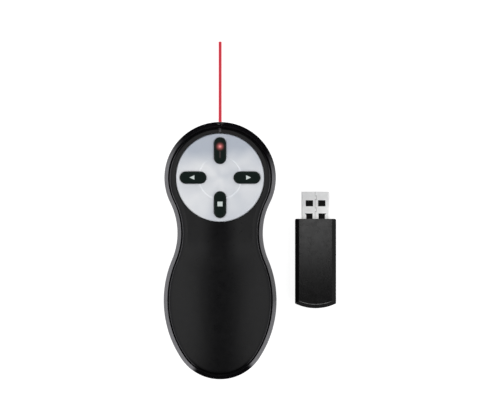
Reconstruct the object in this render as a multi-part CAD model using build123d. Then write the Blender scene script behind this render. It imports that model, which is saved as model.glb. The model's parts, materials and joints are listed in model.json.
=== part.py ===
from build123d import *
import os
from math import atan2, cos, degrees, hypot, radians, sin, sqrt

# Hand-held presentation clicker with its USB receiver lying beside it.
# Millimetres. The origin is on the rest plane, under the middle of the clicker.
# +Y points out of the laser end, +X towards the receiver, +Z up.

# ---------------------------------------------------------------- clicker outline, seen from above
head_radius = 23.9          # round laser end
head_reach = 14.8           # the battery chassis ends this far in front of the head's centre
waist_pinch = 5.6           # how much narrower than the head the waist is, each side
tail_swell = 5.9            # how much wider than the waist the tail is, each side
tail_widest_y = -21.3
tail_taper = 4.2            # how much smaller the tail's end radius is than its half width

# ---------------------------------------------------------------- casing heights and walls
under_round = 9.0           # rounding of the underside
band_below_window = 1.4     # from the laser window down to the seam of band and bottom shell
band_above_window = 0.9
band_upright = 0.5          # the band leans inward from this far above its lower seam
band_lean = 15.0            # degrees inward from upright
band_crease_round = 1.5     # where the band starts to lean
shell_wall = 1.8
band_reveal = 1.95          # plan width of the band seen from above
front_setback = 0.3         # the cover stands this much further back at the front
reveal_gap = 0.25           # shadow gap between the band and the cover
reveal_depth = 0.8
band_depth = 3.4            # plan depth of the band's ring
seam_bevel = 0.25           # bevel on both edges of a parting line
lip_gap = 0.1               # alignment lips stand this far from the wall they centre on
band_lip_width = 0.8
band_lip_height = 0.9
cover_lip_width = 1.0
cover_lip_height = 1.5

# ---------------------------------------------------------------- top cover
palm_rise = 1.8             # height of the palm's crest over the flat top of the head
neck_margin = 2.6           # from the control panel back to where the palm starts to rise
neck_radius = 90.0          # hollow between head and palm, seen from the side
palm_radius = 110.0         # swell of the palm, seen from the side
cross_radius = 60.0         # swell of the palm, seen from the end
cross_blend = 16.0          # length over which the cross swell fades in
palm_rows = 40              # points that the top surface is drawn through
palm_columns = 12
palm_margin = 6.0
palm_tolerance = 0.05
cover_wall = 1.8
cover_draft = 3.0           # degrees
cover_edge_round = 2.1

# ---------------------------------------------------------------- control panel and buttons
panel_inset = 5.0           # from the head's outline to the panel's edge
panel_gap = 0.15
panel_thickness = 1.6
panel_drop = 0.25           # the panel sits this far below the cover's flat top
panel_ledge = 0.8
panel_ledge_depth = 1.4
panel_ring_wall = 0.6
panel_edge_bevel = 0.3
panel_hole_bevel = 0.35     # plan width of the shallow bevel round each button
panel_hole_bevel_depth = 0.12
dish_radius = 9.4           # shallow dish in the middle of the panel
dish_depth = 0.15
dish_slope = 0.5            # plan width of the dish's edge
button_inset = 7.4          # from the panel's edge to the button centres
button_length = 11.2
button_width = 4.95
button_gap = 0.15
button_proud = 0.9
button_travel = 0.5
button_edge_round = 0.5
button_flange = 0.45
button_flange_thickness = 0.6
button_flange_play = 0.1
button_stem_width = 3.2
button_stem_length = 0.55
switch_size = 4.5
switch_height = 1.5
plunger_radius = 1.1
plunger_play = 0.06
plunger_proud = 0.7
plunger_depth = 0.3         # length inside the switch at rest
plunger_room = 0.1          # left under the plunger when pressed
switch_bevel = 0.2

# ---------------------------------------------------------------- main circuit board
board_thickness = 1.0
board_inset = 6.9           # from the head's outline to the board's round end
board_tail_width = 21.0
board_overhang = 1.5        # past the post on the receiver bay
board_notch_play = 0.7
board_corner = 2.0
board_post_radius = 2.0
board_rear_post = (8.5, 5.4)    # x, and distance in front of the chassis's rear wall; both sides
board_front_post = (9.5, 4.7)   # x, and distance in front of the head's centre; both sides
board_screw_radius = 0.8
board_screw_head_radius = 1.6
board_screw_head_height = 0.9
board_screw_depth = 4.0

# ---------------------------------------------------------------- housing screws and bosses
head_boss_inset = 5.9       # from the head's outline
head_boss_angle = 30.0      # degrees behind the middle of the head
tail_boss_setback = 5.7     # from the tail's widest place
shell_boss_radius = 2.9
cover_boss_radius = 2.3
ear_drop = 1.1              # the ears of chassis and receiver bay are clamped this far below the seam
ear_thickness = 1.0
ear_radius = 2.6
ear_play = 0.1
screw_radius = 1.0
screw_hole_play = 0.25
screw_thread_play = 0.02
screw_head_radius = 1.9
screw_head_height = 1.3
screw_head_seat_z = 3.5
screw_bite = 7.1            # length of screw in the cover's boss
screw_tip_play = 0.5
screw_head_round = 0.4
screw_slot_depth = 0.4
screw_slot_width = 0.45
screw_slot_reach = 0.63     # share of the head's radius
counterbore_play = 0.2

# ---------------------------------------------------------------- battery compartment
cell_radius = 5.25          # AAA cells
cell_length = 44.5
cell_nub_length = 1.0
cell_nub_radius = 1.9
cell_edge_round = 0.4
cell_side_gap = 0.45
cell_floor_gap = 0.3
cell_roof_gap = 0.35
spring_space = 2.2
contact_thickness = 0.4
contact_size = 8.0
leaf_width = 5.0
leaf_margin = 0.5           # from the plate's edge to the leaf
leaf_foot = 0.9
terminal_width = 2.0
slot_play = 0.3
chassis_wall = 1.0
chassis_rear_y = -3.4
chassis_low_z = 4.0
chassis_foot_length = 3.0
deck_thickness = 1.0

# ---------------------------------------------------------------- battery door
door_inset = 0.4            # the door is this much narrower than the chassis, each side
door_rear_y = 1.5
door_top_z = 6.5            # the door wraps up the front rounding to here
door_gap = 0.2
door_tongue_setback = 0.3   # from the head's centre
door_tongue_length = 5.0
door_tongue_reach = 1.2
door_tongue_thickness = 0.8
door_tongue_lift = 0.45
door_tongue_root = 1.4
door_pad_height = 0.25
door_pad_width = 4.0
door_pad_margin = 2.0
grip_rib_count = 6
grip_rib_pitch = 1.8
grip_rib_depth = 0.4
grip_rib_width = 0.8
grip_rib_length = 12.0
grip_margin = 3.0           # from the door's rear edge to its first grip groove
arrow_length = 4.0
arrow_width = 6.0
arrow_margin = 2.5          # from the last groove to the arrow

# ---------------------------------------------------------------- laser
laser_rise = 1.3            # laser axis over the chassis deck
barrel_radius = 2.8
barrel_roof_gap = 0.6       # to the main board
barrel_overhang = 3.5       # past the chassis's front wall
barrel_length = 11.0
barrel_play = 0.05
barrel_bevel = 0.3
cradle_wall = 1.0
cradle_length = 9.0
lens_radius = 1.9
lens_thickness = 1.6
lens_edge_round = 0.5
lens_front_wall = 0.8
aperture_radius = 1.2
diode_flange_radius = 2.3
diode_flange_thickness = 1.2
diode_can_radius = 1.65
diode_can_length = 2.4
diode_lead_radius = 0.25
diode_lead_length = 1.4
diode_lead_circle = 1.0
driver_board_thickness = 0.8
driver_board_width = 5.4
driver_board_height = 5.6
driver_slot_room = 1.6      # room behind the driver board for its chip
driver_chip_size = 2.4
driver_chip_height = 0.9
window_radius = 2.1
window_thickness = 1.1
window_play = 0.05
window_bevel = 0.2
window_seat_depth = 2.2     # from the tip of the head to the window's seat
light_path_radius = 1.6
light_path_notch = 3.4      # half width of the notch in the cover's lip
clip_wall = 0.5
clip_width = 3.0
clip_foot = 2.6
clip_setback = 9.1          # from the barrel's front

# ---------------------------------------------------------------- status light
light_width = 1.0
light_length = 2.2
light_setback = 4.5         # from the head's tip to the blade's rear face
light_play = 0.05
light_low_z = 20.6
light_foot_length = 4.4
light_foot_width = 1.6
light_foot_height = 1.0
led_size = (1.6, 0.8, 0.6)
led_inset = 0.7             # from the foot's rear end

# ---------------------------------------------------------------- parts on the main board
radio_chip_size = (5.0, 5.0, 0.9)
radio_chip_y = 6.0
crystal_size = (3.2, 2.5, 0.7)
crystal_x = 6.6
capacitor_size = (1.6, 0.8, 0.8)
capacitor_rows = 3
capacitor_pitch = 2.2
capacitor_x = -6.6
antenna_line = 0.8
antenna_pitch = 2.0
antenna_turns = 3
antenna_width = 14.0
antenna_thickness = 0.1
antenna_margin = 2.0        # from the board's rear edge

# ---------------------------------------------------------------- USB receiver
receiver_width = 17.6
receiver_body_length = 38.4
receiver_height = 7.8
receiver_gap = 7.95         # between the clicker and the receiver
receiver_end_y = -24.7
receiver_wall = 1.2
receiver_bevel_plan = 1.7
receiver_bevel_height = 1.0
receiver_bevel_round = 0.3
receiver_corner = 0.6
receiver_seam_bevel = 0.15
plug_width = 12.0
plug_height = 4.5
plug_length = 11.7
plug_root = 6.0
plug_sheet = 0.3
plug_corner = 0.5
plug_play = 0.1
plug_window = (3.15, 2.6)
plug_window_x = 2.65
plug_window_front = 3.75
plug_slot_front = 9.4
plug_slot_width = 2.75
plug_slot_wing = 0.6        # notch at the outer front corner of each slot
plug_seam_width = 0.12
plug_seam_depth = 0.12
plug_seam_x = -0.2          # from the plug's middle
plug_dovetail_reach = 0.55
plug_dovetail_length = 1.3
plug_dovetail_flare = 0.25
plug_dovetail_fronts = [2.0, 7.2]   # from the plug's tip
tongue_thickness = 1.8
tongue_setback = 0.6
tongue_side_gap = 0.1
contact_pad_width = 1.0
contact_pad_length = 8.0
contact_pad_thickness = 0.15
contact_pad_pitch = 2.3
contact_pad_count = 4
contact_pad_setback = 0.8
receiver_board_thickness = 0.8
receiver_board_side_gap = 0.4
receiver_board_front_gap = 7.0
receiver_board_rear_gap = 3.4
receiver_board_corner = 1.0
receiver_chip_size = (4.0, 4.0, 0.8)
receiver_crystal_size = (3.2, 2.5, 0.7)
receiver_chip_setback = 12.0
receiver_crystal_setback = 7.0
receiver_crystal_x = 4.6
receiver_antenna_margin = 1.2   # from the board's rear edge
receiver_antenna_width = 11.0
receiver_antenna_turns = 3

# ---------------------------------------------------------------- receiver bay in the tail
bay_side_play = 0.3
bay_height_play = 0.1
bay_end_play = 0.3
bay_plug_play = 0.3
bay_wall = 1.0
bay_floor_gap = 0.1
bay_post_setback = 2.1      # from the bay's shoulder
bay_post_radius = 1.6
bay_chassis_gap = 0.3
bay_switch_size = (5.0, 4.0, 2.4)
bay_switch_setback = 4.3    # from the bay's front end
bay_switch_pin_radius = 0.6
bay_switch_pin_play = 0.1
bay_switch_pin_reach = 0.1

# ---------------------------------------------------------------- sizes worked out from those above
# Along the clicker: bay, chassis and laser follow one another, and the casing goes round them.
bay_end_y = chassis_rear_y - bay_chassis_gap - bay_wall
bay_shoulder_y = bay_end_y - plug_length
bay_post_y = bay_shoulder_y - bay_post_setback
bay_switch_y = bay_end_y - bay_switch_setback
tail_end_y = bay_shoulder_y - bay_end_play - receiver_body_length
plate_rear_y = chassis_rear_y + chassis_wall
plate_front_y = plate_rear_y + contact_thickness
contact_rear_y = plate_front_y + spring_space + cell_length
contact_front_y = contact_rear_y + contact_thickness
chassis_front_y = contact_front_y + chassis_wall
barrel_front_y = chassis_front_y + barrel_overhang
barrel_rear_y = barrel_front_y - barrel_length
clip_rear_y = barrel_front_y - clip_setback
head_y = chassis_front_y - head_reach
front_tip_y = head_y + head_radius
light_rear_y = front_tip_y - light_setback
light_foot_y = light_rear_y - light_foot_length
led_y = light_foot_y + led_inset
door_tongue_y = head_y - door_tongue_setback
board_rear_y = bay_post_y - board_overhang
antenna_span = antenna_turns * antenna_pitch + antenna_line
antenna_first_y = board_rear_y + antenna_margin + antenna_span

# Across the clicker.
tail_half_width = head_radius - waist_pinch + tail_swell
tail_end_radius = tail_half_width - tail_taper
panel_radius = head_radius - panel_inset
hole_bevel_angle = degrees(atan2(panel_hole_bevel, panel_hole_bevel_depth))
button_circle = panel_radius - button_inset
board_head_radius = head_radius - board_inset
neck_y = head_y - panel_radius - neck_margin
cover_inset = band_reveal + reveal_gap
cell_axis_x = cell_radius + cell_side_gap
chassis_half_width = cell_axis_x + cell_radius + cell_side_gap + chassis_wall
door_half_width = chassis_half_width - door_inset
bay_width = receiver_width + 2 * bay_side_play
bay_plug_width = plug_width + 2 * bay_plug_play
head_boss_radius = head_radius - head_boss_inset
boss_x = head_boss_radius * cos(radians(head_boss_angle))
head_boss_y = head_y - head_boss_radius * sin(radians(head_boss_angle))
boss_places = [(boss_x, head_boss_y), (boss_x, tail_widest_y - tail_boss_setback)]
board_posts = [(board_rear_post[0], chassis_rear_y + board_rear_post[1]),
               (board_front_post[0], head_y + board_front_post[1])]

# Heights, from the cells up through laser and board to the buttons.
cell_axis_z = shell_wall + door_pad_height + cell_floor_gap + cell_radius
deck_low_z = cell_axis_z + cell_radius + cell_roof_gap
deck_top_z = deck_low_z + deck_thickness
laser_z = deck_top_z + laser_rise
board_low_z = laser_z + barrel_radius + barrel_roof_gap
board_top_z = board_low_z + board_thickness
switch_top_z = board_top_z + switch_height
plunger_top_z = switch_top_z + plunger_proud
flange_low_z = plunger_top_z + button_stem_length
flange_top_z = flange_low_z + button_flange_thickness
panel_low_z = flange_top_z + button_flange_play
panel_top_z = panel_low_z + panel_thickness
button_top_z = panel_top_z + button_proud
head_top_z = panel_top_z + panel_drop
palm_crest_z = head_top_z + palm_rise
seam_z = laser_z - window_radius - band_below_window
widest_z = seam_z + band_upright
band_top_z = laser_z + window_radius + band_above_window
cover_seat_z = band_top_z - reveal_depth
ear_low_z = seam_z - ear_drop
ear_top_z = ear_low_z + ear_thickness
screw_tip_z = ear_top_z + screw_bite
bay_height = receiver_height + 2 * bay_height_play
bay_plug_height = plug_height + 2 * bay_plug_play
bay_axis_z = shell_wall + bay_floor_gap + bay_wall + bay_height / 2

# The receiver beside the clicker.
receiver_x = tail_half_width + receiver_gap + receiver_width / 2
receiver_mid_z = receiver_height / 2
receiver_board_width = receiver_width - 2 * (receiver_wall + receiver_board_side_gap)
receiver_front_y = receiver_end_y + receiver_body_length
receiver_board_front_y = receiver_front_y - receiver_board_front_gap
receiver_board_rear_y = receiver_end_y + receiver_board_rear_gap
plug_tip_y = receiver_front_y + plug_length

# For cuts and joined features.
far = 100.0                 # past every face, for cuts
past = 1.0                  # cuts run this far past a face
bond = 0.5                  # joined features run this far into each other

pieces = {}


def block(x0, x1, y0, y1, z0, z1):
    """Box from its low and high corners."""
    centre = Pos((x0 + x1) / 2, (y0 + y1) / 2, (z0 + z1) / 2)
    return centre * Box(x1 - x0, y1 - y0, z1 - z0)


def post(x, y, z0, z1, radius):
    """Upright cylinder."""
    return Pos(x, y, (z0 + z1) / 2) * Cylinder(radius, z1 - z0)


def rod(x, z, y0, y1, radius):
    """Cylinder along Y."""
    return Pos(x, (y0 + y1) / 2, z) * Rot(90, 0, 0) * Cylinder(radius, y1 - y0)


def both_sides(places):
    """The places and their mirror images in x."""
    return [(side * x, y) for x, y in places for side in (1, -1)]


def outline(inset=0.0, setback=0.0):
    """Clicker's plan outline of six tangent arcs, moved in by inset; setback moves the head arc back."""
    head_r = head_radius - inset
    head_centre = Vector(0, head_y - setback)
    waist_x = head_r - waist_pinch
    tail_x = waist_x + tail_swell
    end_r = tail_x - tail_taper
    end_centre = Vector(0, tail_end_y + inset + end_r)
    drop = tail_widest_y - tail_end_y - inset
    side_r = ((drop - end_r) ** 2 + tail_taper * (tail_x + end_r)) / (2 * tail_taper)
    side_centre = Vector(tail_x - side_r, tail_widest_y)
    # The waist arc touches the head arc and the side arc, and its innermost point is at waist_x.
    span = head_centre.Y - tail_widest_y
    head_term = waist_pinch * (head_r + waist_x)
    side_term = 2 * tail_swell * side_r - tail_swell ** 2
    ratio = waist_pinch / tail_swell
    total = span ** 2 - head_term + side_term * ratio
    rise = total / (span + sqrt(span ** 2 - (1 - ratio) * total))
    waist_r = (rise ** 2 - side_term) / (2 * tail_swell)
    waist_centre = Vector(waist_x + waist_r, tail_widest_y + rise)
    neck = head_centre + (waist_centre - head_centre).normalized() * head_r
    hip = waist_centre + (side_centre - waist_centre).normalized() * waist_r
    heel = side_centre + (end_centre - side_centre).normalized() * side_r
    # Anticlockwise seen from above, from the neck on the right over the front.
    front_arc = ThreePointArc(neck, Vector(0, head_centre.Y + head_r), Vector(-neck.X, neck.Y))
    end_arc = ThreePointArc(Vector(-heel.X, heel.Y), Vector(0, tail_end_y + inset), heel)
    left_side = [
        ThreePointArc(Vector(-neck.X, neck.Y), Vector(-waist_x, waist_centre.Y), Vector(-hip.X, hip.Y)),
        ThreePointArc(Vector(-hip.X, hip.Y), Vector(-tail_x, tail_widest_y), Vector(-heel.X, heel.Y)),
    ]
    right_side = [
        ThreePointArc(heel, Vector(tail_x, tail_widest_y), hip),
        ThreePointArc(hip, Vector(waist_x, waist_centre.Y), neck),
    ]
    return make_face([front_arc, *left_side, end_arc, *right_side])


def prism(inset, z0, z1, setback=0.0, draft=0.0):
    """The outline, inset, from z0 up to z1."""
    return extrude(Pos(0, 0, z0) * outline(inset, setback), z1 - z0, taper=draft)


def casing(inset=0.0):
    """Outside form of shell and band: rounded under, leaning inward above its widest line."""
    form = prism(inset, inset, widest_z) + prism(inset, widest_z, palm_crest_z, draft=band_lean)
    crease = form.edges().filter_by_position(Axis.Z, widest_z, widest_z)
    form = fillet(crease, band_crease_round)
    return fillet(form.faces().sort_by(Axis.Z)[0].edges(), under_round - inset)


def palm_height(x, y):
    """Height of the cover's top surface."""
    swing = neck_radius + palm_radius
    rise = palm_crest_z - head_top_z
    crest_back = sqrt(2 * swing * rise - rise ** 2)
    crest_y = neck_y - crest_back
    turn_y = neck_y - crest_back * neck_radius / swing
    if y >= neck_y:
        height = head_top_z
    elif y >= turn_y:
        height = head_top_z + neck_radius - sqrt(neck_radius ** 2 - (neck_y - y) ** 2)
    else:
        height = palm_crest_z - palm_radius + sqrt(palm_radius ** 2 - (y - crest_y) ** 2)
    fade = min(max((neck_y - y) / cross_blend, 0.0), 1.0)
    fade = fade * fade * (3 - 2 * fade)
    return height - fade * x * x / (2 * cross_radius)


def above_palm(drop=0.0):
    """Everything above the cover's top surface, moved down by drop."""
    half_x = tail_half_width + palm_margin
    low_y = tail_end_y - palm_margin
    length = front_tip_y + palm_margin - low_y
    points = []
    for row in range(palm_rows + 1):
        y = low_y + length * row / palm_rows
        xs = [half_x * (2 * column / palm_columns - 1) for column in range(palm_columns + 1)]
        points.append([Vector(x, y, palm_height(x, y) - drop) for x in xs])
    surface = Face.make_surface_from_array_of_points(points, tol=palm_tolerance)
    return extrude(surface, far / 2, dir=(0, 0, 1))


def stadium(x, y, length, width, z0, z1, upright):
    """Round-ended bar, lying along X, or along Y when upright."""
    shape = SlotOverall(length, width, rotation=90 if upright else 0)
    return extrude(Pos(x, y, z0) * shape, z1 - z0)


# ---------------------------------------------------------------- casing

def boss_stack_cut(shape, x, y):
    """Screw clearance from below, with a counterbore for the head."""
    shape -= post(x, y, -past, ear_low_z + past, screw_radius + screw_hole_play)
    return shape - post(x, y, -past, screw_head_seat_z, screw_head_radius + counterbore_play)


def door_space(gap):
    """Opening for the battery door, or the door's own limits when gap is positive."""
    half = door_half_width - gap
    return block(-half, half, door_rear_y - door_gap + gap, far, -past, door_top_z - gap)


def bay_space(grow=0.0):
    """Hollow that the receiver slides into, grown all round but at its mouth."""
    half = bay_width / 2 + grow
    tall = bay_height / 2 + grow
    plug_half = bay_plug_width / 2 + grow
    plug_tall = bay_plug_height / 2 + grow
    low = bay_axis_z - tall
    body = block(-half, half, tail_end_y - past, bay_shoulder_y + grow, low, low + 2 * tall)
    low = bay_axis_z - plug_tall
    plug = block(-plug_half, plug_half, bay_shoulder_y, bay_end_y + grow, low, low + 2 * plug_tall)
    return body + plug


def make_bottom_shell(form, cavity):
    below = block(-far, far, -far, far, -past, seam_z)
    shell = form & below
    shell = chamfer(shell.faces().sort_by(Axis.Z)[-1].edges(), seam_bevel)
    shell -= cavity & block(-far, far, -far, far, 0.0, far)
    for x, y in both_sides(boss_places):
        shell += post(x, y, shell_wall - bond, ear_low_z, shell_boss_radius) & form
    for x, y in both_sides(boss_places):
        shell = boss_stack_cut(shell, x, y)
    shell -= door_space(0.0)
    return shell - bay_space()


def make_side_band(form):
    band = form & block(-far, far, -far, far, seam_z, band_top_z)
    band = chamfer(band.faces().sort_by(Axis.Z)[0].edges(), seam_bevel)
    band -= prism(band_depth, seam_z - past, far)
    band -= prism(band_reveal, cover_seat_z, far, front_setback)
    lip_inset = shell_wall + lip_gap
    lip = prism(lip_inset, seam_z - band_lip_height, seam_z + bond)
    lip -= prism(lip_inset + band_lip_width, 0.0, far)
    bay_half = bay_width / 2 + bay_wall + slot_play
    lip -= block(-bay_half, bay_half, tail_end_y - past, tail_widest_y, 0.0, seam_z)
    band += lip
    seat_y = front_tip_y - window_seat_depth
    band -= rod(0, laser_z, seat_y, far, window_radius + window_play)
    return band - rod(0, laser_z, head_y, far, light_path_radius)


def make_cover_block():
    """The cover's outside form, solid."""
    cover = prism(cover_inset, cover_seat_z, far / 2, front_setback, cover_draft) - above_palm()
    return fillet(cover.faces().sort_by(Axis.Z)[-1].edges(), cover_edge_round)


def make_top_cover(whole):
    hollow = prism(cover_inset + cover_wall, cover_seat_z, far / 2, front_setback, cover_draft)
    cover = whole - (hollow - above_palm(cover_wall))
    # Seat for the control panel.
    ring_radius = panel_radius + panel_gap
    ring = post(0, head_y, panel_low_z - panel_ledge_depth, panel_low_z, ring_radius + panel_ring_wall)
    cover += ring & whole
    cover -= post(0, head_y, cover_seat_z, far, ring_radius - panel_ledge)
    cover -= post(0, head_y, panel_low_z, far, ring_radius)
    # Lip that centres the cover inside the band, open where the laser shines out.
    lip_inset = band_depth + lip_gap
    lip = prism(lip_inset, cover_seat_z - cover_lip_height, cover_seat_z + bond, front_setback)
    lip &= prism(lip_inset, 0.0, far) - prism(lip_inset + cover_lip_width, 0.0, far, front_setback)
    cover += lip - block(-light_path_notch, light_path_notch, head_y, far, 0.0, cover_seat_z)
    # Screw bosses.
    boss_low = ear_top_z + ear_play
    boss_top = panel_low_z - panel_gap
    for x, y in both_sides(boss_places[:1]):
        cover += post(x, y, boss_low, boss_top, cover_boss_radius)
    for x, y in both_sides(boss_places[1:]):
        cover += post(x, y, boss_low, palm_crest_z, cover_boss_radius) - above_palm(cover_wall / 2)
    for x, y in both_sides(boss_places):
        cover -= post(x, y, 0.0, screw_tip_z + screw_tip_play, screw_radius + screw_thread_play)
    return cover - light_pipe_form(light_play)


def light_pipe_form(grow=0.0):
    """Upright blade in the rim with a foot that reaches back over the status LED."""
    half = light_width / 2 + grow
    front_y = light_rear_y + light_length + grow
    blade = block(-half, half, light_rear_y - grow, front_y, light_low_z - grow, far)
    half = light_foot_width / 2 + grow
    top = light_low_z + light_foot_height + grow
    return blade + block(-half, half, light_foot_y - grow, light_rear_y + bond, light_low_z - grow, top)


# ---------------------------------------------------------------- control panel

def button_places():
    """Name, centre and direction of each button; the two on the axis stand upright."""
    return [
        ("laser", 0.0, head_y + button_circle, True),
        ("previous", -button_circle, head_y, False),
        ("next", button_circle, head_y, False),
        ("stop", 0.0, head_y - button_circle, True),
    ]


def make_panel():
    panel = post(0, head_y, panel_low_z, panel_top_z, panel_radius)
    panel = chamfer(panel.faces().sort_by(Axis.Z)[-1].edges(), panel_edge_bevel)
    dish = Cone(dish_radius - dish_slope, dish_radius, dish_depth)
    panel -= Pos(0, head_y, panel_top_z - dish_depth / 2) * dish
    hole_length = button_length + 2 * button_gap
    hole_width = button_width + 2 * button_gap
    for _, x, y, upright in button_places():
        panel -= stadium(x, y, hole_length, hole_width, panel_low_z - past, panel_top_z + past, upright)
        bevel_low = panel_top_z - panel_hole_bevel_depth
        bevel = Pos(x, y, bevel_low) * SlotOverall(hole_length, hole_width, rotation=90 if upright else 0)
        panel -= extrude(bevel, panel_hole_bevel_depth, taper=-hole_bevel_angle)
    return panel


def make_button(x, y, upright):
    cap = stadium(x, y, button_length, button_width, flange_top_z, button_top_z, upright)
    cap = fillet(cap.faces().sort_by(Axis.Z)[-1].edges(), button_edge_round)
    grown = 2 * button_flange
    cap += stadium(x, y, button_length + grown, button_width + grown, flange_low_z, flange_top_z, upright)
    half = button_stem_width / 2
    return cap + block(x - half, x + half, y - half, y + half, plunger_top_z, flange_low_z)


def make_switch(x, y):
    half = switch_size / 2
    base = block(x - half, x + half, y - half, y + half, board_top_z, switch_top_z)
    base = chamfer(base.faces().sort_by(Axis.Z)[-1].edges(), switch_bevel)
    bore_low = switch_top_z - plunger_depth - button_travel - plunger_room
    return base - post(x, y, bore_low, far, plunger_radius + plunger_play)


def make_plunger(x, y):
    return post(x, y, switch_top_z - plunger_depth, plunger_top_z, plunger_radius)


# ---------------------------------------------------------------- power

def screw_ear(side, wall_x, place):
    """Ear from a side wall to a housing screw, clamped between the bosses."""
    ear_x, ear_y = place
    low_x, high_x = sorted([side * (wall_x - bond), side * ear_x])
    ear = block(low_x, high_x, ear_y - ear_radius, ear_y + ear_radius, ear_low_z, ear_top_z)
    ear += post(side * ear_x, ear_y, ear_low_z, ear_top_z, ear_radius)
    return ear - post(side * ear_x, ear_y, 0.0, far, screw_radius + screw_hole_play)


def make_chassis():
    half = chassis_half_width
    chassis = block(-half, half, chassis_rear_y, chassis_front_y, chassis_low_z, deck_top_z)
    inner = half - chassis_wall
    chassis -= block(-inner, inner, plate_rear_y, contact_front_y, 0.0, deck_low_z)
    cradle = rod(0, laser_z, barrel_front_y - cradle_length, barrel_front_y, barrel_radius + cradle_wall)
    chassis += cradle & block(-half, half, 0.0, far, 0.0, deck_top_z)
    chassis -= rod(0, laser_z, barrel_front_y - cradle_length, far, barrel_radius + barrel_play)
    slot_half = driver_board_width / 2 + slot_play
    slot_rear_y = barrel_rear_y - diode_lead_length - driver_board_thickness - driver_slot_room
    chassis -= block(-slot_half, slot_half, slot_rear_y, barrel_front_y - cradle_length, 0.0, far)
    for side in (1, -1):
        x = side * cell_axis_x
        slot_half = terminal_width / 2 + slot_play
        chassis -= block(x - slot_half, x + slot_half, contact_rear_y - slot_play, contact_front_y,
                         deck_low_z - past, far)
    for x, y in both_sides(board_posts):
        chassis += post(x, y, deck_top_z - bond, board_low_z, board_post_radius)
        chassis -= post(x, y, board_low_z - board_screw_depth, far, board_screw_radius + screw_thread_play)
    for side in (1, -1):
        chassis += screw_ear(side, half, boss_places[0])
    # A foot on the roof of the receiver bay carries the rear end.
    roof_z = bay_axis_z + bay_plug_height / 2 + bay_wall
    foot = bay_plug_width / 2 - chassis_wall
    foot_rear_y = chassis_rear_y - chassis_foot_length
    return chassis + block(-foot, foot, foot_rear_y, chassis_rear_y + bond, roof_z, roof_z + chassis_wall)


def make_cell(side):
    """AAA cell; the left one has its nub to the front, the right one to the rear."""
    x = side * cell_axis_x
    if side < 0:
        nub_y = contact_rear_y
        inward = -1
    else:
        nub_y = plate_front_y
        inward = 1
    shoulder_y = nub_y + inward * cell_nub_length
    base_y = nub_y + inward * cell_length
    low, high = sorted([shoulder_y, base_y])
    can = rod(x, cell_axis_z, low, high, cell_radius)
    can = fillet(can.edges().filter_by(GeomType.CIRCLE), cell_edge_round)
    low, high = sorted([nub_y, shoulder_y + inward * bond])
    return can + rod(x, cell_axis_z, low, high, cell_nub_radius)


def leaf(x, y_root, y_tip):
    """Bowed leaf spring between a plate at y_root and a cell's base at y_tip."""
    half = leaf_width / 2
    tall = contact_size / 2 - leaf_margin
    sheet = contact_thickness * (1 if y_tip > y_root else -1)
    outer = [(y_root, cell_axis_z - tall), (y_tip, cell_axis_z), (y_root, cell_axis_z + tall)]
    foot = tall - leaf_foot
    inner = [(y_root, cell_axis_z + foot), (y_tip - sheet, cell_axis_z), (y_root, cell_axis_z - foot)]
    section = Polyline(*[(0, y, z) for y, z in outer + inner], close=True)
    return extrude(Pos(x - half, 0, 0) * make_face(section), leaf_width, dir=(1, 0, 0))


def make_link_plate():
    half = cell_axis_x + contact_size / 2
    tall = contact_size / 2
    plate = block(-half, half, plate_rear_y, plate_front_y, cell_axis_z - tall, cell_axis_z + tall)
    return plate + leaf(-cell_axis_x, plate_front_y, plate_front_y + spring_space)


def make_front_contact(side):
    x = side * cell_axis_x
    half = contact_size / 2
    plate = block(x - half, x + half, contact_rear_y, contact_front_y, cell_axis_z - half, cell_axis_z + half)
    half = terminal_width / 2
    plate += block(x - half, x + half, contact_rear_y, contact_front_y, cell_axis_z, board_low_z)
    if side > 0:
        plate += leaf(x, contact_rear_y, contact_rear_y - spring_space)
    return plate


def make_battery_door(form, cavity):
    door = (form - cavity) & door_space(door_gap)
    edge = door_half_width - door_gap
    tongue_low = shell_wall + door_tongue_lift
    y0 = door_tongue_y - door_tongue_length / 2
    y1 = y0 + door_tongue_length
    for side in (1, -1):
        root = sorted([side * (edge - door_tongue_root), side * edge])
        tongue = sorted([side * (edge - door_tongue_root), side * (edge + door_tongue_reach)])
        top = tongue_low + door_tongue_thickness
        door += block(root[0], root[1], y0, y1, shell_wall - bond, top)
        door += block(tongue[0], tongue[1], y0, y1, tongue_low, top)
        pad = sorted([side * (cell_axis_x - door_pad_width / 2), side * (cell_axis_x + door_pad_width / 2)])
        pad_y = door_rear_y + door_pad_margin
        door += block(pad[0], pad[1], pad_y, door_tongue_y, shell_wall - bond, shell_wall + door_pad_height)
    for rib in range(grip_rib_count):
        y = door_rear_y + grip_margin + rib * grip_rib_pitch
        half = grip_rib_length / 2
        door -= block(-half, half, y, y + grip_rib_width, -past, grip_rib_depth)
    arrow_y = door_rear_y + grip_margin + grip_rib_count * grip_rib_pitch + arrow_margin
    arrow = Polyline((-arrow_width / 2, arrow_y), (arrow_width / 2, arrow_y), (0, arrow_y + arrow_length),
                     close=True)
    return door - extrude(Pos(0, 0, -past) * make_face(arrow), past + grip_rib_depth, dir=(0, 0, 1))


# ---------------------------------------------------------------- receiver bay

def make_receiver_bay(cavity):
    sleeve = bay_space(bay_wall) & cavity
    sleeve -= bay_space()
    for side in (1, -1):
        sleeve += screw_ear(side, bay_width / 2 + bay_wall, boss_places[1])
    roof_z = bay_axis_z + bay_height / 2 + bay_wall
    sleeve += post(0, bay_post_y, roof_z - bond, board_low_z, bay_post_radius)
    pin_hole = bay_switch_pin_radius + bay_switch_pin_play
    return sleeve - post(0, bay_switch_y, bay_axis_z, roof_z, pin_hole)


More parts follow.
